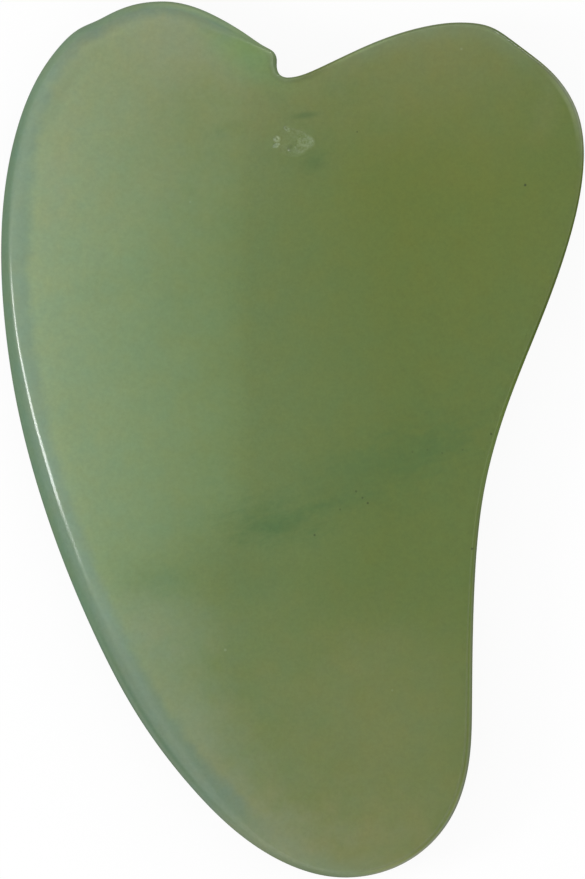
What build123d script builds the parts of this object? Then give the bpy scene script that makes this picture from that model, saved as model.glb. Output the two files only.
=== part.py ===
from build123d import *
from dataclasses import dataclass
import math
import os

# A gua sha scraper: one flat plate of polished stone with two lobes, a notch between them, a long curved
# blade side, a hollow back side and a round tip. Millimetres. The plate lies flat: +Z is up out of the
# face, +Y runs from the tip to the lobes, and the blade side faces -X. The origin is the middle of the
# plate's box, on the face that it rests on.

# Overall sizes
LENGTH = 83.0
WIDTH = 55.2
THICKNESS = 6.0

# The blade lobe, on the -X side, is the higher of the two. Heights are told down from its crown.
BLADE_CROWN_X = -12.2
BLADE_SIDE_DROP = 23.9

# The back lobe, on the +X side
BACK_CROWN_X = 15.8
BACK_CROWN_DROP = 2.1
BACK_SIDE_DROP = 14.5

# The notch between the lobes: a small round floor, then a short upright step up to the blade lobe
NOTCH_DEPTH = 7.26
NOTCH_FLOOR_X = -0.45
NOTCH_STEP_IN = 1.02
NOTCH_STEP_RISE = 1.25

# The belly, a point in the middle of the blade, and the tip
BELLY_IN = 4.5
BELLY_RISE = 33.8
BELLY_HEADING = 288.7
TIP_X = 5.0

# The rim: a rounded nose climbs from the middle of the thickness to a crest, CREST_DEPTH below the face,
# and a bevel climbs from the crest to the face. The widths of both are seen from above.
CREST_DEPTH = 0.6
BLADE_CROWN_NOSE = 1.0
BLADE_CROWN_BEVEL = 2.4
BLADE_SIDE_NOSE = 0.95
BLADE_SIDE_BEVEL = 3.4
BELLY_NOSE = 1.6
BELLY_BEVEL = 3.2
TIP_NOSE = 0.35
TIP_BEVEL = 0.6
BACK_SIDE_NOSE = 0.15
BACK_SIDE_BEVEL = 0.2
BACK_CROWN_NOSE = 0.15
BACK_CROWN_BEVEL = 0.35
NOTCH_NOSE = 0.2
NOTCH_BEVEL = 0.2

# The started cord hole below the notch: a chip with a shallow drill mark in it, in the top face only. The
# drill mark's middle is told from the chip's.
HOLE_X = 0.1
HOLE_BELOW_NOTCH = 6.15
CHIP_LENGTH = 4.2
CHIP_WIDTH = 3.5
CHIP_DEPTH = 0.4
CHIP_FLOOR_SHARE = 0.5
DRILL_MARK_X = -0.2
DRILL_MARK_Y = -0.65
DRILL_MARK_DIAMETER = 1.0
DRILL_MARK_DEPTH = 0.5

# The chip's corners, from its middle, as shares of its length and width
CHIP_CORNERS = [
    (-0.5, -0.04),
    (-0.24, -0.28),
    (0.07, -0.5),
    (0.37, -0.23),
    (0.5, 0.07),
    (0.14, 0.18),
    (-0.24, 0.5),
    (-0.43, 0.2),
]

# Headings of the outline where it is level or upright, in degrees anticlockwise from +X
TO_THE_LEFT = 180
STRAIGHT_DOWN = 270
TO_THE_RIGHT = 0
STRAIGHT_UP = 90

# Where the nose's and the bevel's sections stand, as shares of the nose's climb and of the bevel's width
SECTION_SHARES = (0, 0.5, 1)


@dataclass
class Anchor:
    """A named point of the outline, its heading in degrees, and the widths of the rim's nose and bevel."""

    x: float
    y: float
    heading: float
    nose: float
    bevel: float

    def direction(self):
        return Vector(math.cos(math.radians(self.heading)), math.sin(math.radians(self.heading)))


TOP = LENGTH / 2
NOTCH_FLOOR_Y = TOP - NOTCH_DEPTH

blade_crown = Anchor(
    x=BLADE_CROWN_X,
    y=TOP,
    heading=TO_THE_LEFT,
    nose=BLADE_CROWN_NOSE,
    bevel=BLADE_CROWN_BEVEL,
)
blade_side = Anchor(
    x=-WIDTH / 2,
    y=TOP - BLADE_SIDE_DROP,
    heading=STRAIGHT_DOWN,
    nose=BLADE_SIDE_NOSE,
    bevel=BLADE_SIDE_BEVEL,
)
belly = Anchor(
    x=BELLY_IN - WIDTH / 2,
    y=BELLY_RISE - LENGTH / 2,
    heading=BELLY_HEADING,
    nose=BELLY_NOSE,
    bevel=BELLY_BEVEL,
)
tip = Anchor(
    x=TIP_X,
    y=-LENGTH / 2,
    heading=TO_THE_RIGHT,
    nose=TIP_NOSE,
    bevel=TIP_BEVEL,
)
back_side = Anchor(
    x=WIDTH / 2,
    y=TOP - BACK_SIDE_DROP,
    heading=STRAIGHT_UP,
    nose=BACK_SIDE_NOSE,
    bevel=BACK_SIDE_BEVEL,
)
back_crown = Anchor(
    x=BACK_CROWN_X,
    y=TOP - BACK_CROWN_DROP,
    heading=TO_THE_LEFT,
    nose=BACK_CROWN_NOSE,
    bevel=BACK_CROWN_BEVEL,
)
notch_floor = Anchor(
    x=NOTCH_FLOOR_X,
    y=NOTCH_FLOOR_Y,
    heading=TO_THE_LEFT,
    nose=NOTCH_NOSE,
    bevel=NOTCH_BEVEL,
)
notch_step = Anchor(
    x=NOTCH_FLOOR_X - NOTCH_STEP_IN,
    y=NOTCH_FLOOR_Y + NOTCH_STEP_RISE,
    heading=STRAIGHT_UP,
    nose=NOTCH_NOSE,
    bevel=NOTCH_BEVEL,
)

# The points that shape the outline between two anchors, each told as its share of the way across and its
# share of the way along, from the first anchor to the last. The outline runs anticlockwise.
BLADE_SHOULDER_SHARES = [
    (0.175, 0.012),
    (0.331, 0.05),
    (0.416, 0.078),
    (0.506, 0.104),
    (0.653, 0.188),
    (0.763, 0.289),
    (0.903, 0.508),
]
UPPER_BLADE_SHARES = [(0.078, 0.261), (0.327, 0.561)]
LOWER_BLADE_SHARES = [(0.155, 0.32), (0.299, 0.545), (0.484, 0.75), (0.712, 0.92)]
HOLLOW_BACK_SHARES = [
    (0.248, 0.02),
    (0.432, 0.076),
    (0.518, 0.155),
    (0.533, 0.241),
    (0.544, 0.409),
    (0.584, 0.536),
    (0.686, 0.657),
    (0.827, 0.775),
    (0.951, 0.895),
]
BACK_SHOULDER_SHARES = [(0.06, 0.335), (0.263, 0.625), (0.551, 0.844), (0.746, 0.964)]
SLOPE_TO_NOTCH_SHARES = [(0.178, 0.058), (0.517, 0.388), (0.837, 0.853)]
NOTCH_CORNER_SHARES = [(0.64, 0.18)]
SLOPE_FROM_NOTCH_SHARES = [
    (0, 0.101),
    (0.026, 0.196),
    (0.082, 0.26),
    (0.245, 0.451),
    (0.473, 0.705),
    (0.72, 0.908),
]

SPANS = [
    (blade_crown, BLADE_SHOULDER_SHARES, blade_side),
    (blade_side, UPPER_BLADE_SHARES, belly),
    (belly, LOWER_BLADE_SHARES, tip),
    (tip, HOLLOW_BACK_SHARES, back_side),
    (back_side, BACK_SHOULDER_SHARES, back_crown),
    (back_crown, SLOPE_TO_NOTCH_SHARES, notch_floor),
    (notch_floor, NOTCH_CORNER_SHARES, notch_step),
    (notch_step, SLOPE_FROM_NOTCH_SHARES, blade_crown),
]


def running_lengths(points):
    """The length along straight runs from the first point to each point."""
    lengths = [0.0]
    for start, end in zip(points, points[1:]):
        lengths.append(lengths[-1] + (end - start).length)
    return lengths


def smooth_curve(points, start_direction, end_direction, parameters):
    """A spline through the points whose speed suits the spacing of the parameters."""
    start_speed = (points[1] - points[0]).length / (parameters[1] - parameters[0])
    end_speed = (points[-1] - points[-2]).length / (parameters[-1] - parameters[-2])
    return Edge.make_spline(
        points,
        tangents=[start_direction * start_speed, end_direction * end_speed],
        parameters=parameters,
        scale=False,
    )


def ease(share):
    """A smooth step from 0 to 1 that starts and ends level."""
    return (1 - math.cos(math.pi * share)) / 2


class Span:
    """One stretch of the outline, which can also be drawn further in and at any height."""

    def __init__(self, start, shape, end):
        self.start = start
        self.end = end
        across = end.x - start.x
        along = end.y - start.y
        self.points = [
            Vector(start.x + across * share_across, start.y + along * share_along)
            for share_across, share_along in [(0, 0), *shape, (1, 1)]
        ]
        self.lengths = running_lengths(self.points)
        outline = smooth_curve(self.points, start.direction(), end.direction(), self.lengths)
        self.shares = [length / self.lengths[-1] for length in self.lengths]
        self.inward = []
        for share in self.shares:
            ahead = outline.tangent_at(share, PositionMode.PARAMETER)
            self.inward.append(Vector(-ahead.Y, ahead.X))

    def at(self, nose_share, bevel_share, z):
        """The curve that lies these shares of the nose's and the bevel's widths inside the outline."""
        moved = []
        for point, inward, share in zip(self.points, self.inward, self.shares):
            nose = self.start.nose + (self.end.nose - self.start.nose) * ease(share)
            bevel = self.start.bevel + (self.end.bevel - self.start.bevel) * ease(share)
            inset = nose * nose_share + bevel * bevel_share
            moved.append(point + inward * inset + Vector(0, 0, z))
        return smooth_curve(moved, self.start.direction(), self.end.direction(), self.lengths)


spans = [Span(*span) for span in SPANS]


def section(nose_share, bevel_share, z):
    """The closed outline of the plate at a height, that far in from its silhouette."""
    return Wire([span.at(nose_share, bevel_share, z) for span in spans])


def nose_half():
    """From the silhouette at the middle of the thickness up to the crest: round, upright at its start."""
    crest_z = THICKNESS / 2 - CREST_DEPTH
    return Solid.make_loft([section(climb**2, 0, crest_z * climb) for climb in SECTION_SHARES])


def bevel_half():
    """From the crest up to the face, which it meets smoothly."""
    face_z = THICKNESS / 2
    sections = [section(1, share, face_z - CREST_DEPTH * (1 - share) ** 2) for share in SECTION_SHARES]
    return Solid.make_loft(sections)


def chipped_hole():
    """What the started cord hole takes away: a faceted chip, and the drill's cone in it."""
    centre = Vector(HOLE_X, NOTCH_FLOOR_Y - HOLE_BELOW_NOTCH, THICKNESS / 2)
    mouth = [centre + Vector(x * CHIP_LENGTH, y * CHIP_WIDTH) for x, y in CHIP_CORNERS]
    floor = [centre + (corner - centre) * CHIP_FLOOR_SHARE - Vector(0, 0, CHIP_DEPTH) for corner in mouth]
    chip = Solid.make_loft([Wire.make_polygon(mouth), Wire.make_polygon(floor)], ruled=True)
    drill_plane = Plane(centre + Vector(DRILL_MARK_X, DRILL_MARK_Y, -DRILL_MARK_DEPTH))
    drill_mark = Solid.make_cone(0, DRILL_MARK_DIAMETER / 2, DRILL_MARK_DEPTH, plane=drill_plane)
    return chip + drill_mark


def scraper_plate():
    """The whole plate: two mirrored halves, less the started hole in the upper face."""
    top_half = nose_half() + bevel_half()
    plate = top_half + top_half.mirror(Plane.XY)
    return Pos(0, 0, THICKNESS / 2) * (plate - chipped_hole())


os.makedirs("parts", exist_ok=True)
plate = scraper_plate()
export_step(plate, "parts/scraper_plate.step")
box = plate.bounding_box()
print(f"scraper_plate {box.size.X:.2f} x {box.size.Y:.2f} x {box.size.Z:.2f} mm")
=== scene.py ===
import math

import bmesh
import bpy
import numpy as np
from bpy.props import FloatProperty, FloatVectorProperty, PointerProperty
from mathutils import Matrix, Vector, geometry


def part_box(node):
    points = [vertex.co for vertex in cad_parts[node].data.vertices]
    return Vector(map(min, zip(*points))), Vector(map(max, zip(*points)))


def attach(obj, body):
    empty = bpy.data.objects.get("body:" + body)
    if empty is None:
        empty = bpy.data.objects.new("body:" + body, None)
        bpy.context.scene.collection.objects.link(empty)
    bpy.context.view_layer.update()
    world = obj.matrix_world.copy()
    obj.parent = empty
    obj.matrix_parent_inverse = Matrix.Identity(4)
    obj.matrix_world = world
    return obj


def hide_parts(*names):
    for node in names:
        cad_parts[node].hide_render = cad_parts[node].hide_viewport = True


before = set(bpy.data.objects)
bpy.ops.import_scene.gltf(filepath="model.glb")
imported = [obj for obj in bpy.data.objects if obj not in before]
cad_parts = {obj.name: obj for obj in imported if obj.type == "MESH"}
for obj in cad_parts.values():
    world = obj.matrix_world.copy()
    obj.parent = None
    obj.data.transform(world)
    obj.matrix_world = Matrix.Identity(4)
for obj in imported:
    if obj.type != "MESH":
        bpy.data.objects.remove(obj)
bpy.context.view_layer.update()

bl_info = {
    "name": "Stone Scraper",
    "version": (1, 0, 0),
    "blender": (4, 5, 0),
    "location": "3D View > Sidebar > Scraper",
    "description": "Makes a polished stone gua sha scraper and the plain studio it lies in",
    "category": "Add Mesh",
}

MM = 0.001
NODE = "scraper_plate"
BODY = "root"
LOW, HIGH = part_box(NODE)
MIDDLE_Z = (LOW.z + HIGH.z) / 2
HALF_THICKNESS = (HIGH.z - LOW.z) / 2
CREST_DEPTH = 0.6 * MM
SAME_POINT = 1e-6


def light_of(share):
    """The light that a screen gives for a share of its steps, by the usual sRGB curve."""
    return share / 12.92 if share <= 0.04045 else ((share + 0.055) / 1.055) ** 2.4


def screen_colour(red, green, blue):
    """A colour told in the 0 to 255 steps of a screen, as the linear values that the nodes use."""
    return tuple(light_of(step / 255) for step in (red, green, blue))


# ---- Node trees written as plain expressions


class Value:
    """What a node's socket carries. Arithmetic on it adds Math nodes to its tree."""

    def __init__(self, maker, socket):
        self.maker = maker
        self.socket = socket

    def __add__(self, other):
        return self.maker.math("ADD", self, other)

    def __radd__(self, other):
        return self.maker.math("ADD", other, self)

    def __sub__(self, other):
        return self.maker.math("SUBTRACT", self, other)

    def __rsub__(self, other):
        return self.maker.math("SUBTRACT", other, self)

    def __mul__(self, other):
        return self.maker.math("MULTIPLY", self, other)

    def __rmul__(self, other):
        return self.maker.math("MULTIPLY", other, self)

    def __truediv__(self, other):
        return self.maker.math("DIVIDE", self, other)

    def __rtruediv__(self, other):
        return self.maker.math("DIVIDE", other, self)


class Maker:
    """Adds nodes to one tree."""

    def __init__(self, tree):
        self.tree = tree
        tree.nodes.clear()

    def add(self, kind, settings=None, inputs=None, output=0):
        """A node of that type: its settings first, then its sockets' values or links. Gives one output."""
        node = self.tree.nodes.new(kind)
        for name, setting in (settings or {}).items():
            if name == "stops":
                self.set_stops(node.color_ramp, setting)
            else:
                setattr(node, name, setting)
        for name, value in (inputs or {}).items():
            self.feed(node.inputs[name], value)
        return Value(self, node.outputs[output]) if len(node.outputs) else node

    def feed(self, socket, value):
        """Links a value to a socket, links each of a list of them, or sets the socket's own value."""
        if isinstance(value, Value):
            self.tree.links.new(value.socket, socket)
        elif isinstance(value, list):
            for each in value:
                self.tree.links.new(each.socket, socket)
        else:
            socket.default_value = value

    def set_stops(self, ramp, stops):
        """Stops are (place, colour) pairs in order."""
        while len(ramp.elements) < len(stops):
            ramp.elements.new(1.0)
        for element, (place, colour) in zip(ramp.elements, stops):
            element.position = place
            element.color = (*colour, 1.0)

    def also(self, value, output):
        """Another output of the node that a value comes from."""
        return Value(self, value.socket.node.outputs[output])

    def math(self, operation, *terms):
        return self.add("ShaderNodeMath", {"operation": operation}, dict(enumerate(terms)))

    def rise(self, value, start, end, between="SMOOTHSTEP"):
        """0 at the start, 1 at the end, and a smooth step or, where LINEAR, a straight slope between."""
        settings = {"interpolation_type": between, "clamp": True}
        inputs = {"Value": value, "From Min": start, "From Max": end, "To Min": 0.0, "To Max": 1.0}
        return self.add("ShaderNodeMapRange", settings, inputs)

    def blend(self, share, first, second):
        """A mix of two colours: all the first at 0 and all the second at 1."""
        settings = {"data_type": "RGBA", "blend_type": "MIX", "clamp_factor": True}
        inputs = {0: share, 6: self.opaque(first), 7: self.opaque(second)}
        return self.add("ShaderNodeMix", settings, inputs, output=2)

    @staticmethod
    def opaque(colour):
        return colour if isinstance(colour, Value) else (*colour[:3], 1.0)

    def vector(self, operation, first, second):
        inputs = {0: first, "Scale" if operation == "SCALE" else 1: second}
        return self.add("ShaderNodeVectorMath", {"operation": operation}, inputs)

    def noise(self, place, scale, detail=2.0, roughness=0.5, distortion=0.0):
        """A cloudy pattern, mostly from 0.3 to 0.7, with about that many blots to a unit of length."""
        inputs = {"Vector": place, "Scale": scale, "Detail": detail}
        inputs.update(Roughness=roughness, Distortion=distortion)
        return self.add("ShaderNodeTexNoise", None, inputs, output="Fac")


# ---- Settings that a user would change


def a_level(name, description, default, least=0.0, **more):
    return FloatProperty(name=name, description=description, default=default, min=least, **more)


def a_length(name, description, default, least=0.0):
    return a_level(name, description, default, least, unit="LENGTH", precision=6)


def a_share(name, description, default, least=0.0, most=1.0):
    return a_level(name, description, default, least, max=most, subtype="FACTOR")


def a_colour(name, description, default):
    settings = {"size": 3, "min": 0.0, "max": 1.0, "subtype": "COLOR"}
    return FloatVectorProperty(name=name, description=description, default=default, **settings)


def a_stone(name, description, steps):
    """A colour of the stone, told in the steps of a screen."""
    return a_colour(name, description, screen_colour(*steps))


class PlateSizes(bpy.types.PropertyGroup):
    """How finely the plate is made, and how much its polish wanders."""

    blade_crest_rounding: a_length(
        "Blade crest rounding", "How softly the nose meets the bevel in the middle of the blade", 0.22 * MM
    )
    crest_rounding: a_length("Crest rounding", "How softly the nose meets the bevel elsewhere", 0.6 * MM)
    waviness: a_length("Waviness", "Depth of the slow waves that hand polishing leaves", 0.012 * MM)
    wave_length: a_length("Wave length", "Distance from one polishing wave to the next", 11 * MM, 1 * MM)
    crest_wander: a_share("Crest wander", "Share of the nose's width that it varies by", 0.03, most=0.3)
    field_spacing: a_length("Field spacing", "Distance between points of the faces", 0.8 * MM, 0.2 * MM)
    hole_spacing: a_length("Hole spacing", "Distance between points round the hole", 0.08 * MM, 0.03 * MM)


class StoneFinish(bpy.types.PropertyGroup):
    """The stone's colours, some of them tones of painted light, shade and reflection, and its polish."""

    # The pale to deep tones run across from the blade's side: partly the stone's own tone, partly painted
    # light falling from that side
    pale: a_stone("Pale stone", "Milky sage by the blade's rim", (141, 161, 123))
    sage: a_stone("Sage stone", "Sage green of the blade side", (125, 147, 104))
    green: a_stone("Green stone", "Green of the middle, on the blade's side of it", (113, 134, 87))
    olive: a_stone("Olive stone", "Olive green of the middle and the back side", (107, 126, 76))
    deep: a_stone("Deep stone", "Deepest olive green", (99, 117, 59))
    bloom: a_stone("Bloom", "Warm pale clouds in the stone", (160, 153, 118))
    # Tone of the painted light that pales the rim and the blade's lower band
    mist: a_stone("Mist", "Cool pale clouds inside the lower rim of the blade", (165, 170, 155))
    straw: a_stone("Straw", "Yellowish clouds in the back lobe", (112, 120, 36))
    # Tone of the dark clouds in the stone and of the painted shade in and round the hole
    shade: a_stone("Shade", "Cool dark clouds in the stone", (84, 108, 64))
    clear: a_stone("Clear stone", "Clear green where the stone thins by the notch", (100, 156, 84))
    # The rim tone is a painted reflection: the blade's bluish band, the sheen on the back crown and the
    # cool rims
    rim: a_stone("Rim", "Bluish sage where the plate thins to its rim", (116, 141, 118))
    # Also the tone of a painted shade below and right of the hole
    vein: a_stone("Vein", "Teal green of the veins and inclusions", (66, 104, 60))
    speck: a_stone("Specks", "Near black of the small mineral specks", (52, 62, 36))
    frost: a_stone("Fracture", "Pale bloom of chipped stone", (160, 176, 142))
    polish: a_share("Polish", "Roughness of the polished faces", 0.14)
    chip_roughness: a_share("Chip roughness", "Roughness inside the chipped hole", 0.5)


class StageSettings(bpy.types.PropertyGroup):
    """The camera and the plain studio."""

    lens: a_level("Lens", "Focal length of the camera in millimetres", 150.0, 20.0)
    fill: a_share("Fill", "Share of the picture's height that the plate fills", 0.9958, 0.1)
    floor: a_colour("Floor", "Colour of the floor", (0.98, 0.98, 0.98))
    floor_glow: a_share("Floor glow", "Share of the floor's whiteness that is its own light", 0.92)
    floor_bounce: a_share("Floor bounce", "How pale the floor is for the light that it throws back", 0.35)
    zenith_level: a_level("Zenith level", "Light from straight above", 0.45)
    tent_level: a_level("Tent level", "Light from all round, half way up", 1.02)
    horizon_level: a_level("Horizon level", "Light from all round at the height of the plate", 0.25)


# ---- The plate's guide curves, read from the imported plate


def merged_copy(node):
    """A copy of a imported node's mesh with its doubled corners made one."""
    mesh = bmesh.new()
    mesh.from_mesh(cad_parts[node].data)
    bmesh.ops.remove_doubles(mesh, verts=mesh.verts, dist=SAME_POINT)
    return mesh


def side_of(face, edge, height):
    """Whether a face's corner beyond one of its edges lies above a height, at it or below it."""
    beyond = next(vert for vert in face.verts if vert not in edge.verts)
    lift = beyond.co.z - height
    return 0 if abs(lift) < SAME_POINT else int(math.copysign(1, lift))


def loops_at(mesh, height):
    """The closed loops of edges at a height where the surface changes its slope, longest first."""
    level = set()
    for edge in mesh.edges:
        if all(abs(vert.co.z - height) < SAME_POINT for vert in edge.verts):
            sides = {side_of(face, edge, height) for face in edge.link_faces}
            if len(sides) == 2:
                level.add(edge)
    loops = []
    while level:
        start = level.pop()
        first, vert = start.verts
        loop = [first.co.xy.copy()]
        while vert != first:
            loop.append(vert.co.xy.copy())
            onward = next(edge for edge in vert.link_edges if edge in level)
            level.remove(onward)
            vert = onward.other_vert(vert)
        loops.append(np.array(loop))
    return sorted(loops, key=loop_length, reverse=True)


def loop_length(loop):
    return np.linalg.norm(np.roll(loop, -1, axis=0) - loop, axis=1).sum()


def in_order(loop):
    """The loop anticlockwise from its leftmost point, whichever edge it was found from."""
    ahead = np.roll(loop, -1, axis=0)
    area = (loop[:, 0] * ahead[:, 1] - loop[:, 1] * ahead[:, 0]).sum() / 2
    loop = loop if area > 0 else loop[::-1]
    leftmost = min(range(len(loop)), key=lambda number: tuple(loop[number]))
    return np.roll(loop, -leftmost, axis=0)


class ClosedCurve:
    """A smooth closed curve through a loop of points, told by the length run along it."""

    def __init__(self, loop):
        loop = in_order(loop)
        self.points = np.vstack([loop, loop[:1]])
        self.steps = np.linalg.norm(np.diff(self.points, axis=0), axis=1)
        self.lengths = np.concatenate([[0.0], np.cumsum(self.steps)])
        self.bends = self.solve_bends()

    def solve_bends(self):
        """The curve's second derivative at each point, which makes its slope and bend run on smoothly."""
        count = len(self.steps)
        here = np.arange(count)
        before, after = np.roll(self.steps, 1), self.steps
        slopes = np.diff(self.points, axis=0) / self.steps[:, None]
        system = np.zeros((count, count))
        system[here, here] = 2 * (before + after)
        system[here, (here - 1) % count] = before
        system[here, (here + 1) % count] = after
        bends = np.linalg.solve(system, 6 * (slopes - np.roll(slopes, 1, axis=0)))
        return np.vstack([bends, bends[:1]])

    @property
    def length(self):
        return self.lengths[-1]

    def at(self, runs):
        """The points that lie these lengths along the curve."""
        runs = np.mod(runs, self.length)
        piece = np.clip(np.searchsorted(self.lengths, runs, side="right") - 1, 0, len(self.steps) - 1)
        step = self.steps[piece][:, None]
        share = (runs - self.lengths[piece])[:, None] / step
        near, far = 1 - share, share
        straight = self.points[piece] * near + self.points[piece + 1] * far
        bend = self.bends[piece] * (near**3 - near) + self.bends[piece + 1] * (far**3 - far)
        return straight + bend * step**2 / 6


class Rim:
    """Stations round the plate's silhouette, with the inward direction and the rim's widths at each."""

    FINE = 6000
    WIDEST_STEP = 0.42 * MM
    NARROWEST_STEP = 0.1 * MM
    STEP_PER_RADIUS = 0.16
    SMOOTHING = 0.6 * MM
    # The heights where the blade's crest turns from soft to crisp, and then soft again
    SOFT_ABOVE, CRISP_BELOW = 28 * MM, 18 * MM
    CRISP_ABOVE, SOFT_BELOW = -14 * MM, -23 * MM
    SOFT_NOSE, CRISP_NOSE = 0.6 * MM, 0.9 * MM
    # The slow waves in the nose's width: how many go round, and the angle that each starts at
    WAVES = ((5, 0.4), (13, 2.1), (29, 4.4))

    def __init__(self, sizes):
        mesh = merged_copy(NODE)
        silhouette = ClosedCurve(loops_at(mesh, MIDDLE_Z)[0])
        crest = ClosedCurve(loops_at(mesh, HIGH.z - CREST_DEPTH)[0])
        face_loops = loops_at(mesh, HIGH.z)
        field = ClosedCurve(face_loops[0])
        self.hole_mouth = face_loops[1]
        mesh.free()

        self.runs = self.station_runs(silhouette)
        self.outline = silhouette.at(self.runs)
        self.inward = self.inward_directions(silhouette)
        self.nose = self.distance_to(crest) * self.wander(sizes.crest_wander, silhouette.length)
        self.bevel = self.distance_to(field) - self.nose
        heights = (self.SOFT_BELOW, self.CRISP_ABOVE, self.CRISP_BELOW, self.SOFT_ABOVE)
        crisp = np.interp(self.outline[:, 1], heights, (0, 1, 1, 0))
        crisp *= np.interp(self.nose, (self.SOFT_NOSE, self.CRISP_NOSE), (0, 1))
        rounding = sizes.crest_rounding + crisp * (sizes.blade_crest_rounding - sizes.crest_rounding)
        self.rounding = np.minimum(rounding, self.nose)

    def station_runs(self, curve):
        """Lengths along the silhouette, closer together where it bends tightly."""
        runs = np.linspace(0, curve.length, self.FINE, endpoint=False)
        points = curve.at(runs)
        ahead = np.roll(points, -1, axis=0) - points
        heading = np.unwrap(np.arctan2(ahead[:, 1], ahead[:, 0]))
        turn = np.abs(np.diff(np.append(heading, heading[0] + 2 * math.pi)))
        radius = np.linalg.norm(ahead, axis=1) / np.maximum(turn, SAME_POINT)
        step = np.clip(radius * self.STEP_PER_RADIUS, self.NARROWEST_STEP, self.WIDEST_STEP)
        density = spread_fft(1 / step, curve.length, self.SMOOTHING)
        counted = np.concatenate([[0.0], np.cumsum(density)]) * curve.length / self.FINE
        count = int(round(counted[-1]))
        wanted = np.linspace(0, counted[-1], count, endpoint=False)
        return np.interp(wanted, counted, np.append(runs, curve.length))

    def inward_directions(self, curve):
        gap = self.NARROWEST_STEP / 4
        ahead = curve.at(self.runs + gap) - curve.at(self.runs - gap)
        ahead /= np.linalg.norm(ahead, axis=1)[:, None]
        return np.stack([-ahead[:, 1], ahead[:, 0]], axis=1)

    def distance_to(self, curve):
        """From each station to the nearest point of an inner curve."""
        inner = curve.at(np.linspace(0, curve.length, self.FINE, endpoint=False))
        gaps = [np.linalg.norm(inner - station, axis=1).min() for station in self.outline]
        return np.array(gaps)

    def wander(self, share, length):
        """Slow waves round the rim, about 1."""
        turns = 2 * math.pi * self.runs / length
        total = sum(np.sin(count * turns + start) for count, start in self.WAVES)
        return 1 + share * total / len(self.WAVES)

    def inside(self, inset):
        """The closed ring of points that lie these distances inside the silhouette."""
        return self.outline + self.inward * np.reshape(inset, (-1, 1))


def spread_fft(values, length, reach):
    """Evenly spaced values round a loop of that length, smoothed over about that reach."""
    waves = np.fft.fftfreq(len(values), length / len(values)) * 2 * math.pi
    return np.fft.ifft(np.fft.fft(values) * np.exp(-0.5 * (waves * reach) ** 2)).real


# ---- The chipped hole: shallow scallops bitten out of the upper face


class Flake:
    """One bowl-shaped bite. Its middle and radii are shares of the hole's mouth, its turn in degrees."""

    def __init__(self, middle, radii, turn, depth, frost):
        self.middle = np.array(middle)
        self.radii = np.array(radii)
        self.turn = math.radians(turn)
        self.depth = depth
        self.frost = frost

    def bite(self, places):
        """How deep the flake goes at each place, told as shares of the mouth, and 0 outside it."""
        x, y = (places - self.middle).T
        across = x * math.cos(self.turn) + y * math.sin(self.turn)
        along = y * math.cos(self.turn) - x * math.sin(self.turn)
        spread = (across / self.radii[0]) ** 2 + (along / self.radii[1]) ** 2
        return self.depth * np.maximum(1 - spread, 0)


FLAKES = [
    Flake((0.00, -0.03), (0.44, 0.42), 0, 0.16 * MM, 0.20),
    Flake((0.27, -0.03), (0.22, 0.19), -15, 0.20 * MM, 0.55),
    Flake((0.17, -0.18), (0.24, 0.16), 40, 0.19 * MM, 0.38),
    Flake((0.12, 0.20), (0.34, 0.09), -24, 0.14 * MM, 0.25),
    Flake((-0.14, 0.31), (0.11, 0.06), -42, 0.14 * MM, 0.55),
    Flake((-0.37, 0.05), (0.09, 0.10), 8, 0.18 * MM, 1.25),
    Flake((-0.38, -0.13), (0.10, 0.06), 35, 0.17 * MM, 1.25),
]
DRILL_MARK = Flake((-0.05, -0.19), (0.13, 0.15), 0, 0.24 * MM, 0.0)
# How much of a flake's depth its fresh break takes to show fully
FROST_FADE = 0.5


class ChippedHole:
    """The hole's place and size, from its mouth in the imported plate, and what it takes away."""

    def __init__(self, mouth):
        low, high = mouth.min(axis=0), mouth.max(axis=0)
        self.middle = (low + high) / 2
        self.size = high - low

    def reach(self, points):
        """How far out each point lies from the hole's middle, where 1 is the edge of its mouth."""
        return np.linalg.norm((points - self.middle) / self.size, axis=1) * 2

    def cut(self, points):
        """The depth taken away at each point, and how freshly broken the stone is there, from 0 to 1."""
        places = (points - self.middle) / self.size
        bites = np.array([flake.bite(places) for flake in FLAKES])
        depth = bites.max(axis=0)
        shown = [np.minimum(bite / (FROST_FADE * flake.depth), 1) for flake, bite in zip(FLAKES, bites)]
        frost = np.max([flake.frost * share for flake, share in zip(FLAKES, shown)], axis=0)
        drilled = DRILL_MARK.bite(places)
        frost = np.where(drilled > depth, DRILL_MARK.frost, frost)
        return np.maximum(depth, drilled), frost


# ---- The plate's flat plan, which the geometry nodes raise into the plate


# Rings of points across the nose, and those across the bevel as shares of its width
NOSE_STEPS = 16
BEVEL_SHARES = (0.04, 0.09, 0.15, 0.23, 0.33, 0.45, 0.6, 0.79, 1.0)
# Zones round the hole: how far each reaches, where 1 is the mouth's edge, and its relative spacing
HOLE_ZONES = ((1.25, 1.0), (1.8, 2.2), (2.6, 4.5))
# The least gap from the field's points to its edge, and that from row to row, over their spacing
EDGE_GAP = 0.4
ROW_GAP = math.sqrt(0.75)
# The triangulation keeps the faces inside the edges, and makes points this close one
INSIDE_EDGES, CLOSE_POINTS = 1, 1e-9


def hexagonal_points(low, high, spacing):
    """Evenly packed points that fill a box."""
    rows = int((high[1] - low[1]) / (spacing * ROW_GAP)) + 1
    columns = int((high[0] - low[0]) / spacing) + 1
    row, column = np.mgrid[0:rows, 0:columns].reshape(2, -1)
    x = low[0] + (column + 0.5 * (row % 2)) * spacing
    y = low[1] + row * spacing * ROW_GAP
    return np.stack([x, y], axis=1)


def inside_loop(points, loop):
    """Which points lie inside a closed loop."""
    inside = np.zeros(len(points), bool)
    for start, end in zip(loop, np.roll(loop, -1, axis=0)):
        spans = (start[1] > points[:, 1]) != (end[1] > points[:, 1])
        climb = end[1] - start[1] or SAME_POINT
        crossing = start[0] + (points[:, 1] - start[1]) / climb * (end[0] - start[0])
        inside ^= spans & (points[:, 0] < crossing)
    return inside


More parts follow.
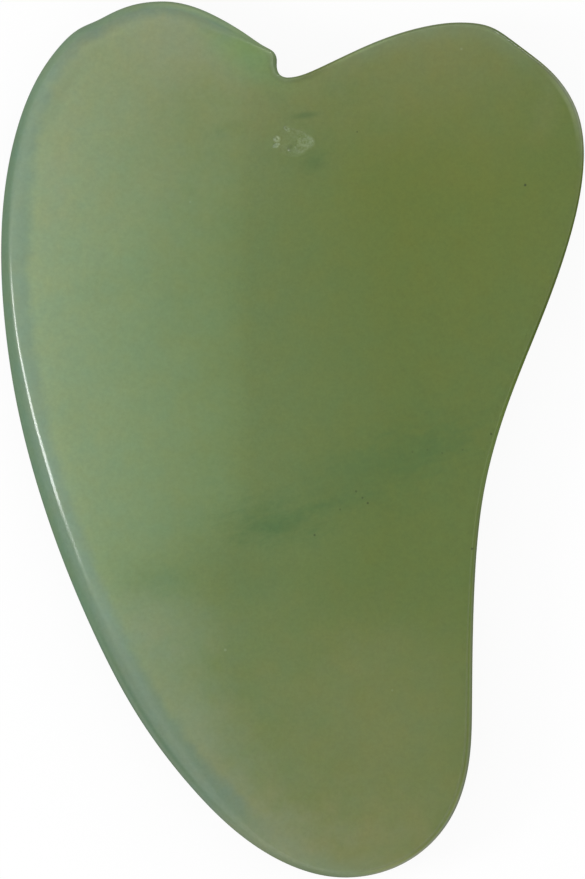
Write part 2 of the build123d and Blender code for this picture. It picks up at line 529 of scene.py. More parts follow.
def nearest(points, ring):
    """The index of each point's nearest station on a ring, and the distance to it."""
    index = np.zeros(len(points), int)
    gap = np.zeros(len(points))
    for number, point in enumerate(points):
        gaps = np.linalg.norm(ring - point, axis=1)
        index[number] = gaps.argmin()
        gap[number] = gaps.min()
    return index, gap


def field_points(ring, hole, sizes):
    """Points inside the innermost ring: coarse in the open field, fine in and around the hole."""
    low, high = ring.min(axis=0), ring.max(axis=0)
    points = hexagonal_points(low, high, sizes.field_spacing)
    kept = [points[hole.reach(points) > HOLE_ZONES[-1][0]]]
    inner = 0.0
    for outer, coarseness in HOLE_ZONES:
        half_size = hole.size * outer / 2
        spacing = sizes.hole_spacing * coarseness
        zone = hexagonal_points(hole.middle - half_size, hole.middle + half_size, spacing)
        reach = hole.reach(zone)
        kept.append(zone[(reach > inner) & (reach <= outer)])
        inner = outer
    points = np.vstack(kept)
    points = points[inside_loop(points, ring)]
    _, gap = nearest(points, ring)
    return points[gap > sizes.field_spacing * EDGE_GAP]


def plan_mesh(sizes):
    """A flat mesh of the plate's plan, with the rim's widths and the hole's depth as attributes."""
    rim = Rim(sizes)
    hole = ChippedHole(rim.hole_mouth)
    insets = [rim.nose * (step / NOSE_STEPS) ** 2 for step in range(NOSE_STEPS + 1)]
    insets += [rim.nose + rim.bevel * share for share in BEVEL_SHARES]
    rings = [rim.inside(inset) for inset in insets]
    stations = len(rim.runs)

    points = [np.vstack(rings)]
    faces = []
    for ring in range(len(rings) - 1):
        for station in range(stations):
            onward = (station + 1) % stations
            corners = (station, onward, onward + stations, station + stations)
            faces.append([ring * stations + corner for corner in corners])

    inner = field_points(rings[-1], hole, sizes)
    coordinates = [Vector(point) for point in np.vstack([rings[-1], inner])]
    edges = [(station, (station + 1) % stations) for station in range(stations)]
    made = geometry.delaunay_2d_cdt(coordinates, edges, [], INSIDE_EDGES, CLOSE_POINTS)
    verts, _, triangles = made[:3]
    field = np.array([tuple(vert) for vert in verts])
    first = len(points[0])
    faces += [[first + corner for corner in triangle] for triangle in triangles]
    points.append(field)

    nearest_station, gap = nearest(field, rim.outline)
    flat = np.vstack(points)
    depth, frost = hole.cut(flat)
    attributes = {"inset": np.concatenate([*insets, gap])}
    for name, widths in (("nose", rim.nose), ("bevel", rim.bevel), ("rounding", rim.rounding)):
        attributes[name] = np.concatenate([np.tile(widths, len(rings)), widths[nearest_station]])
    attributes.update(hole_depth=depth, frost=frost)
    mesh = bpy.data.meshes.new("plate_plan")
    mesh.from_pydata([(x, y, 0.0) for x, y in flat], [], faces)
    for name, values in attributes.items():
        mesh.attributes.new(name, "FLOAT", "POINT").data.foreach_set("value", values.astype(np.float32))
    return mesh


# ---- Geometry nodes that raise the plan into a plate


def named_input(tree, name, kind):
    return tree.interface.new_socket(name, in_out="INPUT", socket_type=kind)


def plate_tree():
    """The rule of the plate's thickness: a round nose, a bevel and a flat field, above and below."""
    tree = bpy.data.node_groups.new("plate_from_plan", "GeometryNodeTree")
    make = Maker(tree)
    named_input(tree, "Plan", "NodeSocketGeometry")
    for name in ("Half Thickness", "Crest Height", "Waviness", "Wave Length", "Middle Height"):
        size = named_input(tree, name, "NodeSocketFloat")
        size.default_value = MM
        size.subtype = "DISTANCE"
    named_input(tree, "Stone", "NodeSocketMaterial")
    tree.interface.new_socket("Plate", in_out="OUTPUT", socket_type="NodeSocketGeometry")

    plan = make.add("NodeGroupInput")

    def given(name):
        return make.also(plan, name)

    def attribute(name):
        return make.add("GeometryNodeInputNamedAttribute", None, {"Name": name}, output="Attribute")

    inset, nose, bevel = attribute("inset"), attribute("nose"), attribute("bevel")
    half, crest = given("Half Thickness"), given("Crest Height")
    nose_height = crest * make.math("SQRT", inset / nose)
    to_go = 1 - make.math("MINIMUM", (inset - nose) / bevel, 1)
    bevel_height = half - (half - crest) * to_go * to_go
    height = make.math("SMOOTH_MIN", nose_height, bevel_height, attribute("rounding"))

    place = make.add("GeometryNodeInputPosition")
    x = make.add("ShaderNodeSeparateXYZ", None, {"Vector": place}, output="X")
    y = make.also(x, "Y")

    def face(sign, cut):
        """One face: the plan raised or lowered, less its polishing waves and what is cut from it."""
        lifted = make.add("ShaderNodeCombineXYZ", None, {"X": x, "Y": y, "Z": half * sign})
        waves = make.noise(lifted, 1 / given("Wave Length"), detail=1.5)
        wave_depth = given("Waviness") * waves * make.rise(inset, 0, nose)
        z = (height - wave_depth - cut) * sign + given("Middle Height")
        position = make.add("ShaderNodeCombineXYZ", None, {"X": x, "Y": y, "Z": z})
        return make.add("GeometryNodeSetPosition", None, {"Geometry": given("Plan"), "Position": position})

    upper = face(1, attribute("hole_depth"))
    lower = make.add("GeometryNodeFlipFaces", None, {"Mesh": face(-1, 0)})
    joined = make.add("GeometryNodeJoinGeometry", None, {"Geometry": [upper, lower]})
    closed = {"Geometry": joined, "Distance": SAME_POINT / 10}
    whole = make.add("GeometryNodeMergeByDistance", None, closed)
    smooth = make.add("GeometryNodeSetShadeSmooth", None, {"Geometry": whole})
    plain = make.add("GeometryNodeRealizeInstances", None, {"Geometry": smooth})
    finished = make.add("GeometryNodeSetMaterial", None, {"Geometry": plain, "Material": given("Stone")})
    make.add("NodeGroupOutput", None, {"Plate": finished})
    return tree


def grown(name, base, tree, values):
    """The plain mesh object that a tree makes from a base mesh. The tree's inputs are told by name."""
    piece = bpy.data.objects.new(name, base)
    bpy.context.scene.collection.objects.link(piece)
    modifier = piece.modifiers.new(name, "NODES")
    modifier.node_group = tree
    sockets = {item.name: item.identifier for item in tree.interface.items_tree if item.in_out == "INPUT"}
    for input_name, value in values.items():
        modifier[sockets[input_name]] = value
    bpy.context.view_layer.update()
    evaluated = piece.evaluated_get(bpy.context.evaluated_depsgraph_get())
    mesh = bpy.data.meshes.new_from_object(evaluated)
    piece.modifiers.remove(modifier)
    piece.data = mesh
    mesh.name = name
    return piece


# ---- The stone


# Soft patches in millimetres: middle x and y, half length, half width, turn in degrees, strength
BLOOMS = (
    (-13.0, 38.0, 18.0, 20.0, 0, 0.28),
    (13.0, 39.0, 16.0, 14.0, 0, 0.28),
    (8.0, -29.0, 16.0, 16.0, 0, 0.20),
    (3.0, -43.0, 18.0, 12.0, 0, 0.30),
    (6.8, -20.5, 6.0, 3.6, 0, 0.05),
    (-22.3, 25.0, 9.0, 2.0, 82, 0.08),
    (-6.5, -31.5, 9.5, 1.7, -54, 0.10),
    (24.0, 31.0, 5.0, 1.6, 70, 0.08),
)
# Pale bluish patches by the blade's rim and crown: painted light that lifts the rim's shade and widens its
# painted reflection
PAINTED_LIGHT_MISTS = (
    (-10.0, -27.0, 17.0, 5.5, -54, 0.20),
    (-1.0, -37.5, 7.0, 4.0, 0, 0.16),
    (-9.0, 38.0, 9.0, 5.5, -10, 0.17),
    (-12.5, -17.5, 7.0, 4.0, 0, 0.15),
    (-8.8, -33.0, 5.5, 2.6, -55, 0.12),
)
STRAWS = ((14.0, 24.0, 18.0, 17.0, 0, 0.30),)
SHADES = (
    # Painted shade: the first darkens the stone round the hole, the second the drill mark in its middle
    (0.6, 27.5, 4.5, 5.0, 0, 0.16),
    (-0.1, 27.3, 0.8, 0.8, 0, 0.22),
    (1.15, 30.45, 1.6, 0.38, 8, 0.54),
    (-4.5, -12.0, 5.0, 4.0, 0, 0.16),
    (9.0, -13.5, 7.0, 3.2, 20, 0.08),
    (-18.2, 14.1, 3.0, 2.2, 0, 0.06),
)
VEINS = (
    (-2.3, -8.0, 5.2, 2.4, 6, 0.34),
    (-1.6, -8.3, 2.6, 0.7, 4, 0.12),
    (7.0, -3.4, 14.0, 4.6, 22, 0.25),
    (12.5, -0.6, 6.0, 2.4, 30, 0.16),
    (-12.4, -13.3, 4.6, 2.2, 6, 0.13),
    (3.9, -6.1, 4.6, 0.8, 14, 0.16),
    # Painted shade below and right of the hole
    (2.0, 26.0, 1.6, 1.2, 20, 0.30),
    (-6.3, 29.2, 2.6, 0.9, 15, 0.16),
)
# The turn in degrees and the stretch of the wisps that break the veins up
VEIN_TURN, VEIN_STRETCH = 20, (3.0, 1.0, 1.0)
# Dark specks, in millimetres: x, y, radius, strength
SPECKS = (
    (6.0, -4.9, 0.10, 0.6),
    (6.6, -5.5, 0.09, 0.7),
    (7.1, -6.0, 0.10, 0.8),
    (4.5, -6.6, 0.09, 0.4),
    (2.1, -9.0, 0.10, 0.7),
    (11.3, -1.2, 0.09, 0.35),
    (12.7, -1.0, 0.08, 0.3),
    (14.1, -1.3, 0.09, 0.35),
    (16.0, -1.0, 0.09, 0.3),
    (21.9, 23.9, 0.12, 0.9),
    (6.1, 28.9, 0.07, 0.6),
    (18.7, 0.5, 0.10, 0.7),
    (16.9, -10.3, 0.10, 0.8),
)
# Pale specks
FLECKS = (
    (-6.3, -19.8, 0.13, 0.30),
    (15.9, 36.7, 0.12, 0.25),
    (-9.6, 22.3, 0.10, 0.20),
    (9.4, -23.6, 0.10, 0.20),
)
# Where a speck's edge starts and is full, over its radius
SPECK_EDGE = (1.4, 0.5)
# Blots to a millimetre in the stone's patterns
CLOUD_SCALE, MOTTLE_SCALE, GRAIN_SCALE, WISP_SCALE, WARMTH_SCALE = 0.09, 0.55, 2.4, 1.1, 0.4
SCUFF_SCALE, CRUMB_SCALE, CRUST_SCALE = 2.0, 3.6, 7.0
# How far the clouds and the mottling shift the colours, and the clouds the plane's lower end
CLOUD_SHIFT, MOTTLE_SHIFT, PLANE_SHIFT = 5.0, 2.5, 10.0
# How ragged the clouds, the mottling and the wisps make the edges of the patches
RAGGED_MOTTLE, RAGGED_CLOUD, RAGGED_WISP = 0.4, 0.5, 1.3
# How much the patterns change the stone's light and its warmth
MOTTLE_DEPTH, GRAIN_DEPTH, WARMTH_RED, WARMTH_BLUE = 0.08, 0.28, 0.2, 0.25
# Where the broken stone's crumbs start and are full in their pattern, and how pale they are
CRUMB_RANGE, CRUMB_SHARE = (0.36, 0.64), 0.65
# The same for the polish's scuffs, how rough they are, and how narrow along each axis
SCUFF_RANGE, SCUFF_DEPTH, SCUFF_SQUEEZE = (0.45, 0.8), 0.08, (0.7, 2.2, 1.0)
# How far the surface turns edge on before its gloss dulls, at the start and in full
DULL_FACING = (0.24, 0.46)
# The paler blade side is partly the stone's own tone and partly painted light falling from that side
# Where the stone has each colour, as x in millimetres. Below the vein they lean towards the blade.
PALE_X, SAGE_X, GREEN_X, OLIVE_X, DEEP_X = -26.0, -15.0, -8.0, -4.0, 10.0
LEAN, LEAN_Y = 3.0, (-4.0, -18.0)
# A plane of lighter stone in the middle, above the vein: where it starts and is full on the blade's side,
# on the other side and at its lower end, and how light it is
PLANE_X, PLANE_BACK_X, PLANE_Y, PLANE_LIGHT = (-13.0, -6.0), (-3.6, -5.2), (-13.0, -4.0), 0.05
# The bluish band inside the blade's rim is a painted reflection, and low on the blade painted shade dims
# it
# How wide the bluish band is at the blade's crown and along its side, and where it changes
CROWN_BAND, BLADE_BAND, BAND_Y = 1.5, 2.7, (38.0, 22.0)
# Where its edge fades and how far the mottling shifts that, how strong it is and over how wide a bevel
# it comes in, and how much it darkens and where
BAND_FADE, BAND_WANDER = (0.8, -0.6), 1.4
BAND_SHARE, BAND_BEVEL = 0.72, (0.65, 1.2)
PAINTED_BAND_SHADE, PAINTED_BAND_SHADE_Y = 0.12, (-14.0, -24.0)
# Where the painted sheen along the back lobe's crown starts and is full, and how strong it is
PAINTED_SHEEN_X, PAINTED_SHEEN_END_X, PAINTED_SHEEN_Y = (1.0, 9.0), (26.0, 19.0), (26.0, 33.0)
PAINTED_SHEEN_INSET, PAINTED_SHEEN_SHARE = (2.5, 0.1), 0.3
# Patches of the rim, mostly painted light and painted reflection that lift and tint its shaded nose and
# bevel: an ellipse, told as above, and the insets that it comes in between, from the face and then from
# the wall
PAINTED_PALE_RIMS = (
    ((-9.5, 39.5, 10.0, 6.0, -10, 0.95), (0.95, 0.35), (0.0, 0.1)),
    ((-3.4, 36.0, 5.0, 3.0, -35, 0.80), (0.75, 0.3), (0.0, 0.1)),
)
PAINTED_MISTY_RIMS = (
    ((12.0, -38.0, 12.0, 9.0, 15, 0.56), (0.55, 0.22), (0.0, 0.1)),
    ((18.0, -22.0, 8.0, 24.0, 0, 0.28), (0.5, 0.22), (0.0, 0.1)),
    ((27.0, 33.0, 5.0, 7.0, 20, 0.55), (0.7, 0.3), (0.0, 0.1)),
    ((26.8, 31.5, 3.5, 5.0, 20, 0.16), (1.05, 0.75), (0.48, 0.62)),
    ((-13.0, -28.0, 14.0, 6.0, -57, 0.20), (0.7, 0.25), (0.0, 0.1)),
    ((-4.0, -38.5, 8.0, 4.0, -35, 0.17), (0.85, 0.5), (0.0, 0.1)),
    ((4.5, -41.0, 8.0, 4.0, -5, 0.13), (0.8, 0.5), (0.0, 0.1)),
)
PAINTED_COOL_RIMS = (((2.5, -40.8, 7.0, 4.0, 0, 0.5), (3.0, 0.3), (0.0, 0.1)),)
WARM_RIMS = (((-9.0, 40.0, 7.0, 4.0, -15, 0.15), (2.3, 1.6), (0.7, 1.1)),)
# Patches of painted light and painted shade on the rim, as changes of the stone's light
PAINTED_RIM_LIGHT_AND_SHADE = (
    ((10.0, -40.6, 7.0, 5.0, 0, 0.60), (0.78, 0.52), (0.1, 0.3)),
    ((15.2, -35.5, 5.0, 4.0, -60, 0.35), (0.8, 0.52), (0.25, 0.45)),
    ((17.2, -22.0, 8.0, 26.0, 0, 0.38), (0.68, 0.42), (0.1, 0.38)),
    ((19.8, 1.0, 6.0, 10.0, -18, 0.50), (0.55, 0.3), (0.0, 0.1)),
    ((26.5, 32.0, 3.5, 4.5, 20, 0.13), (1.0, 0.72), (0.48, 0.62)),
    ((20.0, 38.4, 4.0, 3.0, -25, 0.16), (0.8, 0.65), (0.48, 0.6)),
    ((24.0, 35.0, 8.0, 5.0, -40, -0.24), (0.6, 0.48), (0.3, 0.42)),
    ((6.6, 37.0, 4.0, 3.0, 20, 0.20), (0.65, 0.5), (0.1, 0.3)),
    ((0.2, 34.6, 4.0, 2.5, 0, -0.24), (1.0, 0.5), (0.28, 0.4)),
    ((-9.0, 40.8, 6.0, 3.5, 20, 0.22), (1.05, 0.75), (0.22, 0.5)),
    ((-5.2, 39.0, 2.5, 2.0, 45, 0.16), (0.75, 0.5), (0.1, 0.3)),
    ((-19.0, 38.6, 7.5, 4.5, 30, -0.17), (2.3, 1.6), (0.7, 1.1)),
    ((-22.2, 33.0, 7.0, 4.0, 60, -0.11), (4.0, 2.8), (1.2, 2.0)),
)
# A clear green patch by the notch
GREENS = ((-4.6, 37.0, 6.5, 3.0, -35, 0.34),)
# How far out a patch still shows, and how far its field reaches, over its half length and half width
PATCH_END, PATCH_FIELD = 1.25, 2.0
# The places between which the painted shade on the blade's nose fades out
PALE_NOSE_Y = (26.0, 38.0)
# The widths that turn a nose into the blade's, and the roundings that turn its crest soft
BLADE_NOSE, SOFT_CREST = (0.5, 0.95), (0.2, 0.6)
# Where the nose's painted shade starts and is full, over its width, at a crisp and at a soft crest
CRISP_SHADE, SOFT_SHADE = (1.05, 0.85), (1.75, 0.25)
# The painted light low on the blade's edge: the places and insets it comes in between, and its strength
PAINTED_LOW_LIGHT_Y, PAINTED_LOW_LIGHT_INSET, PAINTED_LOW_LIGHT = (-12.0, -20.0), (0.9, 0.2), 0.09
# The heights between which the rim's painted light and tones fade in, so that its wall stays plain
UPPER_RIM_Z = (3.3, 4.4)
# What the painted shade on the blade's nose keeps of each colour of light
PAINTED_NOSE_SHADE_TINT = (0.77, 0.82, 0.81)
# How far the inclusions slant through the stone on their way to its lower face
SLANT = 0.3


def stone_material(finish):
    """Polished, slightly translucent green stone with clouds, veins, specks, a frosted chip, and painted
    light, shade and reflection.
    """
    material = bpy.data.materials.new("polished_green_stone")
    material.use_nodes = True
    make = Maker(material.node_tree)
    metres = make.add("ShaderNodeTexCoord", output="Object")
    place = make.vector("SCALE", metres, 1 / MM)
    x = make.add("ShaderNodeSeparateXYZ", None, {"Vector": place}, output="X")
    y, z = make.also(x, "Y"), make.also(x, "Z")
    below = (z - HIGH.z / MM) * SLANT
    flat = make.add("ShaderNodeCombineXYZ", None, {"X": x + below, "Y": y + below, "Z": 0.0})

    clouds = make.noise(place, CLOUD_SCALE) - 0.5
    mottle = make.noise(place, MOTTLE_SCALE, detail=3.0, roughness=0.6) - 0.5
    grain = make.noise(place, GRAIN_SCALE, detail=3.0, roughness=0.75) - 0.5

    # Paler towards the blade: partly the stone's tone, partly painted light
    lean = make.rise(y, *LEAN_Y) * LEAN
    colour = field_colour(make, finish, x + lean + clouds * CLOUD_SHIFT + mottle * MOTTLE_SHIFT)
    plane = make.rise(x + mottle, *PLANE_BACK_X) * make.rise(x, *PLANE_X)
    plane = plane * make.rise(y + clouds * PLANE_SHIFT, *PLANE_Y)
    colour = make.vector("SCALE", colour, 1 + plane * PLANE_LIGHT)
    ragged = mottle * RAGGED_MOTTLE + clouds * RAGGED_CLOUD
    for ellipses, tone in (
        (BLOOMS, finish.bloom),
        (PAINTED_LIGHT_MISTS, finish.mist),
        (STRAWS, finish.straw),
        (SHADES, finish.shade),
        (GREENS, finish.clear),
    ):
        colour = make.blend(patches(make, ellipses, flat, ragged), colour, tone)
    colour = rim_colour(make, finish, colour, flat, x, y, z, mottle)

    turned = {"Vector": place, "Rotation": (0.0, 0.0, math.radians(VEIN_TURN)), "Scale": VEIN_STRETCH}
    streaks = make.add("ShaderNodeMapping", {"vector_type": "TEXTURE"}, turned)
    wisps = make.noise(streaks, WISP_SCALE, detail=4.0, roughness=0.65, distortion=0.4) - 0.5
    colour = make.blend(patches(make, VEINS, flat, wisps * RAGGED_WISP), colour, finish.vein)
    colour = make.blend(specks(make, SPECKS, flat), colour, finish.speck)
    colour = make.blend(specks(make, FLECKS, flat), colour, finish.frost)

    frost = attribute_of(make, "frost")
    crumbs = make.noise(place, CRUMB_SCALE, detail=3.0, roughness=0.75)
    colour = make.blend(frost * make.rise(crumbs, *CRUMB_RANGE) * CRUMB_SHARE, colour, finish.frost)
    warmth = make.noise(place, WARMTH_SCALE, detail=3.0, roughness=0.6) - 0.5
    red, blue = 1 + warmth * WARMTH_RED, 1 - warmth * WARMTH_BLUE
    tint = make.add("ShaderNodeCombineXYZ", None, {"X": red, "Y": 1.0, "Z": blue})
    colour = make.vector("MULTIPLY", colour, tint)
    colour = make.vector("SCALE", colour, 1 + mottle * MOTTLE_DEPTH + grain * GRAIN_DEPTH)

    scuffs = make.noise(make.vector("MULTIPLY", place, SCUFF_SQUEEZE), SCUFF_SCALE, detail=3.0)
    roughness = finish.polish + make.rise(scuffs, *SCUFF_RANGE) * SCUFF_DEPTH
    roughness = roughness + frost * (finish.chip_roughness - finish.polish)
    crust = make.noise(place, CRUST_SCALE) * frost
    bump = make.add("ShaderNodeBump", None, {"Strength": 0.4, "Distance": 0.04 * MM, "Height": crust})
    shader = make.add(
        "ShaderNodeBsdfPrincipled",
        {"subsurface_method": "RANDOM_WALK"},
        {
            "Base Color": colour,
            "Roughness": roughness,
            "Normal": bump,
            "IOR": 1.5,
            "Subsurface Weight": 0.3,
            "Subsurface Radius": (1.0, 1.0, 0.7),
            "Subsurface Scale": 1.2 * MM,
        },
    )
    matt = make.add("ShaderNodeBsdfDiffuse", None, {"Color": colour})
    edge_on = make.add("ShaderNodeLayerWeight", None, {"Blend": 0.5}, output="Facing")
    dullness = make.rise(edge_on, *DULL_FACING)
    dulled = make.add("ShaderNodeMixShader", None, {"Fac": dullness, 1: shader, 2: matt})
    make.add("ShaderNodeOutputMaterial", None, {"Surface": dulled})
    return material


def attribute_of(make, name):
    return make.add("ShaderNodeAttribute", {"attribute_name": name}, output="Fac")


def field_colour(make, finish, x):
    """The stone's colour across its width, from pale sage to deep olive: partly its own tone, partly
    painted light falling from the blade's side.
    """
    share = make.rise(x, PALE_X, DEEP_X, between="LINEAR")
    colours = (finish.pale, finish.sage, finish.green, finish.olive, finish.deep)
    places = (PALE_X, SAGE_X, GREEN_X, OLIVE_X, DEEP_X)
    stops = [((place - PALE_X) / (DEEP_X - PALE_X), colour) for place, colour in zip(places, colours)]
    return make.add("ShaderNodeValToRGB", {"stops": stops}, {"Fac": share}, output="Color")


def rim_colour(make, finish, colour, flat, x, y, z, mottle):
    """Painted reflection, light and shade on the rim: the blade's bluish band and deeper nose, the back
    crown's sheen, patches.
    """
    names = ("inset", "nose", "bevel", "rounding")
    inset, nose, bevel, rounding = (attribute_of(make, name) / MM for name in names)
    band_width = CROWN_BAND + (BLADE_BAND - CROWN_BAND) * make.rise(y, *BAND_Y)
    inside = make.rise(inset + mottle * BAND_WANDER - band_width, *BAND_FADE)
    # The bluish band is painted reflection. Low on the blade, painted shade dims it.
    painted_sheen_band = inside * make.rise(bevel, *BAND_BEVEL)
    colour = make.blend(painted_sheen_band * BAND_SHARE, colour, finish.rim)
    colour = make.vector("SCALE", colour, 1 - painted_sheen_band * make.rise(y, *PAINTED_BAND_SHADE_Y) * PAINTED_BAND_SHADE)

    upper = make.rise(z, *UPPER_RIM_Z)
    # A greyish painted sheen along the back lobe's crown
    back_crown = make.rise(x, *PAINTED_SHEEN_X) * make.rise(x, *PAINTED_SHEEN_END_X) * make.rise(y, *PAINTED_SHEEN_Y) * upper
    colour = make.blend(back_crown * make.rise(inset, *PAINTED_SHEEN_INSET) * PAINTED_SHEEN_SHARE, colour, finish.rim)

    on_blade = make.rise(nose, *BLADE_NOSE)
    softness = make.rise(rounding, *SOFT_CREST)
    start, full = (crisp + softness * (soft - crisp) for crisp, soft in zip(CRISP_SHADE, SOFT_SHADE))
    # Painted shade darkens the blade's nose
    painted_nose_shade = make.rise(inset / nose, start, full) * on_blade * (1 - make.rise(y, *PALE_NOSE_Y))
    colour = make.blend(painted_nose_shade, colour, make.vector("MULTIPLY", colour, PAINTED_NOSE_SHADE_TINT))

    def strengths(rims):
        """How strong each of the rim's patches of painted light is at each place."""
        for ellipse, inner, outer in rims:
            whole = patches(make, (ellipse,), flat, 0.0)
            yield whole * make.rise(inset, *inner) * make.rise(inset, *outer)

    for rims, tone in (
        (PAINTED_PALE_RIMS, finish.pale),
        (PAINTED_MISTY_RIMS, finish.mist),
        (PAINTED_COOL_RIMS, finish.rim),
        (WARM_RIMS, finish.straw),
    ):
        # Painted light and painted reflection on the rim
        for strength in strengths(rims):
            colour = make.blend(strength * upper, colour, tone)
    painted_low_light = make.rise(inset, *PAINTED_LOW_LIGHT_INSET) * on_blade * make.rise(y, *PAINTED_LOW_LIGHT_Y) * PAINTED_LOW_LIGHT
    # Painted light and painted shade on the rim, as a change of the stone's light
    glow = sum(strengths(PAINTED_RIM_LIGHT_AND_SHADE), painted_low_light)
    return make.vector("SCALE", colour, 1 + glow * upper)


def patches(make, ellipses, flat, ragged):
    """How strong several soft-edged ellipses are together at each place, with ragged edges."""
    ragged = ragged / PATCH_FIELD
    total = 0.0
    for middle_x, middle_y, half_length, half_width, turn, strength in ellipses:
        inputs = {
            "Vector": flat,
            "Location": (middle_x, middle_y, 0.0),
            "Rotation": (0.0, 0.0, math.radians(turn)),
            "Scale": (half_length * PATCH_FIELD, half_width * PATCH_FIELD, 1.0),
        }
        own = make.add("ShaderNodeMapping", {"vector_type": "TEXTURE"}, inputs)
        settings = {"gradient_type": "SPHERICAL"}
        nearness = make.add("ShaderNodeTexGradient", settings, {"Vector": own}, output="Fac")
        total = make.rise(nearness - ragged, 1 - PATCH_END / PATCH_FIELD, 1.0) * strength + total
    return total


def specks(make, dots, flat):
    """How strong several small round specks are together at each place."""
    start, full = SPECK_EDGE
    total = 0.0
    for middle_x, middle_y, radius, strength in dots:
        ends = {0: flat, 1: (middle_x, middle_y, 0.0)}
        gap = make.add("ShaderNodeVectorMath", {"operation": "DISTANCE"}, ends, output="Value")
        total = make.rise(gap, radius * start, radius * full) * strength + total
    return total


# ---- Operators


class SCRAPER_OT_plate(bpy.types.Operator):
    """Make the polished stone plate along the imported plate's outline and rim"""

    bl_idname = "scraper.plate"
    bl_label = "Make the plate"

    def execute(self, context):
        sizes = context.scene.scraper_sizes
        plan = plan_mesh(sizes)
        values = {
            "Half Thickness": HALF_THICKNESS,
            "Crest Height": HALF_THICKNESS - CREST_DEPTH,
            "Waviness": sizes.waviness,
            "Wave Length": sizes.wave_length,
            "Middle Height": MIDDLE_Z,
            "Stone": stone_material(context.scene.scraper_finish),
        }
        plate = grown("polished_plate", plan, plate_tree(), values)
        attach(plate, BODY)
        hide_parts(NODE)
        return {"FINISHED"}


LAMPS = (
    # name, width, height, power, azimuth and elevation in degrees
    ("blade_side_lamp", 0.29, 0.28, 3.9, 188.9, 30),
    ("back_crown_lamp", 0.18, 0.25, 1.4, 57, 25),
)
LAMP_DISTANCE = 1.0
# How far the camera stands off the plate's middle, and how far the floor lies under the plate
CAMERA_OFFSET = (0.025 * MM, -0.02 * MM)
FLOOR_GAP, FLOOR_REACH = 0.01 * MM, 2.0
# How high the sky's levels change, from 0 at the plate's height to 1 straight above
ZENITH_FADE, HORIZON_FADE, WALL_FADE = (0.7, 0.97), (0.65, 0.0), (0.45, 0.15)


def studio_lamp(name, width, height, power, azimuth, elevation):
    """A rectangular lamp that looks at the plate's middle from a direction told in degrees."""
    lamp = bpy.data.lights.new(name, "AREA")
    lamp.shape = "RECTANGLE"
    lamp.size = width
    lamp.size_y = height
    lamp.energy = power
    lamp_object = bpy.data.objects.new(name, lamp)
    around, up = math.radians(azimuth), math.radians(elevation)
    direction = Vector((math.cos(around) * math.cos(up), math.sin(around) * math.cos(up), math.sin(up)))
    lamp_object.location = direction * LAMP_DISTANCE
    lamp_object.rotation_mode = "QUATERNION"
    lamp_object.rotation_quaternion = direction.to_track_quat("Z", "Y")
    bpy.context.scene.collection.objects.link(lamp_object)


def shown_rays(make):
    """1 for rays that show a backdrop to the eye, straight or mirrored, and 0 for those that light."""
    ray = make.add("ShaderNodeLightPath", output="Is Camera Ray")
    mirrored = make.math("MAXIMUM", make.also(ray, "Is Glossy Ray"), make.also(ray, "Is Transmission Ray"))
    return make.math("MAXIMUM", ray, mirrored)


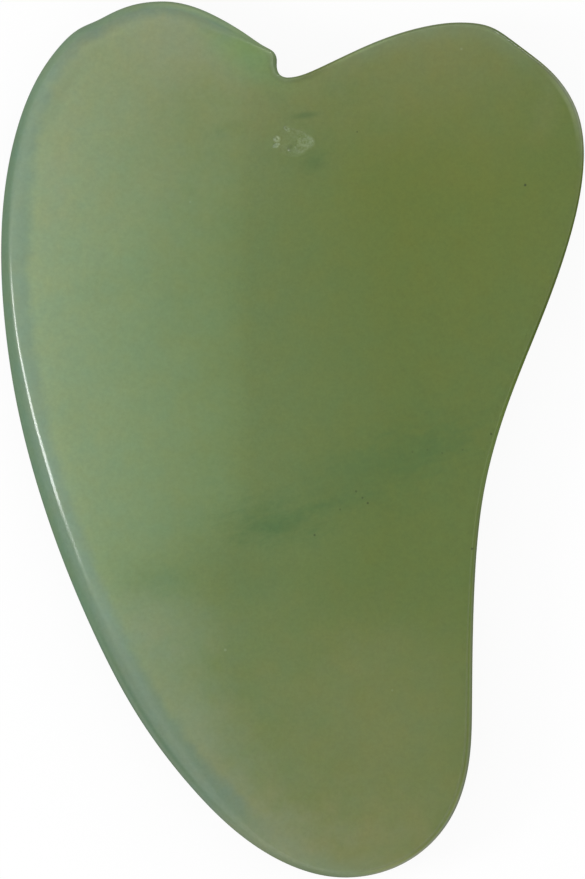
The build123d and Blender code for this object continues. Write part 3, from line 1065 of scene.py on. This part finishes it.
class SCRAPER_OT_stage(bpy.types.Operator):
    """Make the camera, the lamps, the sky and the floor"""

    bl_idname = "scraper.stage"
    bl_label = "Make the studio"

    def execute(self, context):
        settings = context.scene.scraper_stage
        self.make_camera(context.scene, settings)
        self.make_floor(context.scene, settings)
        self.make_sky(context.scene, settings)
        for lamp in LAMPS:
            studio_lamp(*lamp)
        context.scene.view_settings.view_transform = "Standard"
        return {"FINISHED"}

    @staticmethod
    def make_camera(scene, settings):
        """Straight above the plate, with the lobes at the top of the picture."""
        camera = bpy.data.cameras.new("camera")
        camera.lens = settings.lens
        half_height = (HIGH.y - LOW.y) / settings.fill / 2
        distance = half_height * settings.lens / (camera.sensor_width / 2)
        camera_object = bpy.data.objects.new("camera", camera)
        camera_object.location = (*CAMERA_OFFSET, MIDDLE_Z + distance)
        scene.collection.objects.link(camera_object)
        scene.camera = camera_object

    @staticmethod
    def make_floor(scene, settings):
        mesh = bpy.data.meshes.new("floor")
        signs = ((-1, -1), (1, -1), (1, 1), (-1, 1))
        corners = [(x * FLOOR_REACH, y * FLOOR_REACH, LOW.z - FLOOR_GAP) for x, y in signs]
        mesh.from_pydata(corners, [], [(0, 1, 2, 3)])
        floor = bpy.data.objects.new("floor", mesh)
        scene.collection.objects.link(floor)
        material = bpy.data.materials.new("pale_floor")
        material.use_nodes = True
        make = Maker(material.node_tree)
        shown = shown_rays(make)
        paint = make.blend(shown, (settings.floor_bounce,) * 3, settings.floor)
        matt = make.add("ShaderNodeBsdfDiffuse", None, {"Color": paint})
        glow = make.add("ShaderNodeEmission")
        inputs = {"Fac": shown * settings.floor_glow, 1: matt, 2: glow}
        surface = make.add("ShaderNodeMixShader", None, inputs)
        make.add("ShaderNodeOutputMaterial", None, {"Surface": surface})
        mesh.materials.append(material)

    @staticmethod
    def make_sky(scene, settings):
        """Plain light from all round, brightest half way up as in a light tent, before a white wall."""
        world = bpy.data.worlds.new("studio_sky")
        world.use_nodes = True
        make = Maker(world.node_tree)
        direction = make.add("ShaderNodeTexCoord", output="Generated")
        up = make.add("ShaderNodeSeparateXYZ", None, {"Vector": direction}, output="Z")
        tent, zenith, horizon = settings.tent_level, settings.zenith_level, settings.horizon_level
        level = tent + (zenith - tent) * make.rise(up, *ZENITH_FADE)
        level = level + (horizon - tent) * make.rise(up, *HORIZON_FADE)
        level = level + (1 - level) * shown_rays(make) * make.rise(up, *WALL_FADE)
        sky = make.add("ShaderNodeBackground", None, {"Color": (1.0, 1.0, 1.0, 1.0), "Strength": level})
        make.add("ShaderNodeOutputWorld", None, {"Surface": sky})
        scene.world = world


class SCRAPER_PT_panel(bpy.types.Panel):
    """The scraper's settings and the buttons that make it"""

    bl_idname = "SCRAPER_PT_panel"
    bl_label = "Stone scraper"
    bl_space_type = "VIEW_3D"
    bl_region_type = "UI"
    bl_category = "Scraper"

    def draw(self, context):
        scene = context.scene
        for group in (scene.scraper_sizes, scene.scraper_finish, scene.scraper_stage):
            box = self.layout.box()
            for name in group.__annotations__:
                box.prop(group, name)
        self.layout.operator(SCRAPER_OT_plate.bl_idname)
        self.layout.operator(SCRAPER_OT_stage.bl_idname)


CLASSES = (PlateSizes, StoneFinish, StageSettings, SCRAPER_OT_plate, SCRAPER_OT_stage, SCRAPER_PT_panel)
GROUPS = {"scraper_sizes": PlateSizes, "scraper_finish": StoneFinish, "scraper_stage": StageSettings}


def register():
    for each in CLASSES:
        bpy.utils.register_class(each)
    for name, group in GROUPS.items():
        setattr(bpy.types.Scene, name, PointerProperty(type=group))


def unregister():
    for name in GROUPS:
        delattr(bpy.types.Scene, name)
    for each in reversed(CLASSES):
        bpy.utils.unregister_class(each)


def main():
    register()
    bpy.ops.scraper.stage()
    bpy.ops.scraper.plate()


if __name__ == "__main__":
    main()
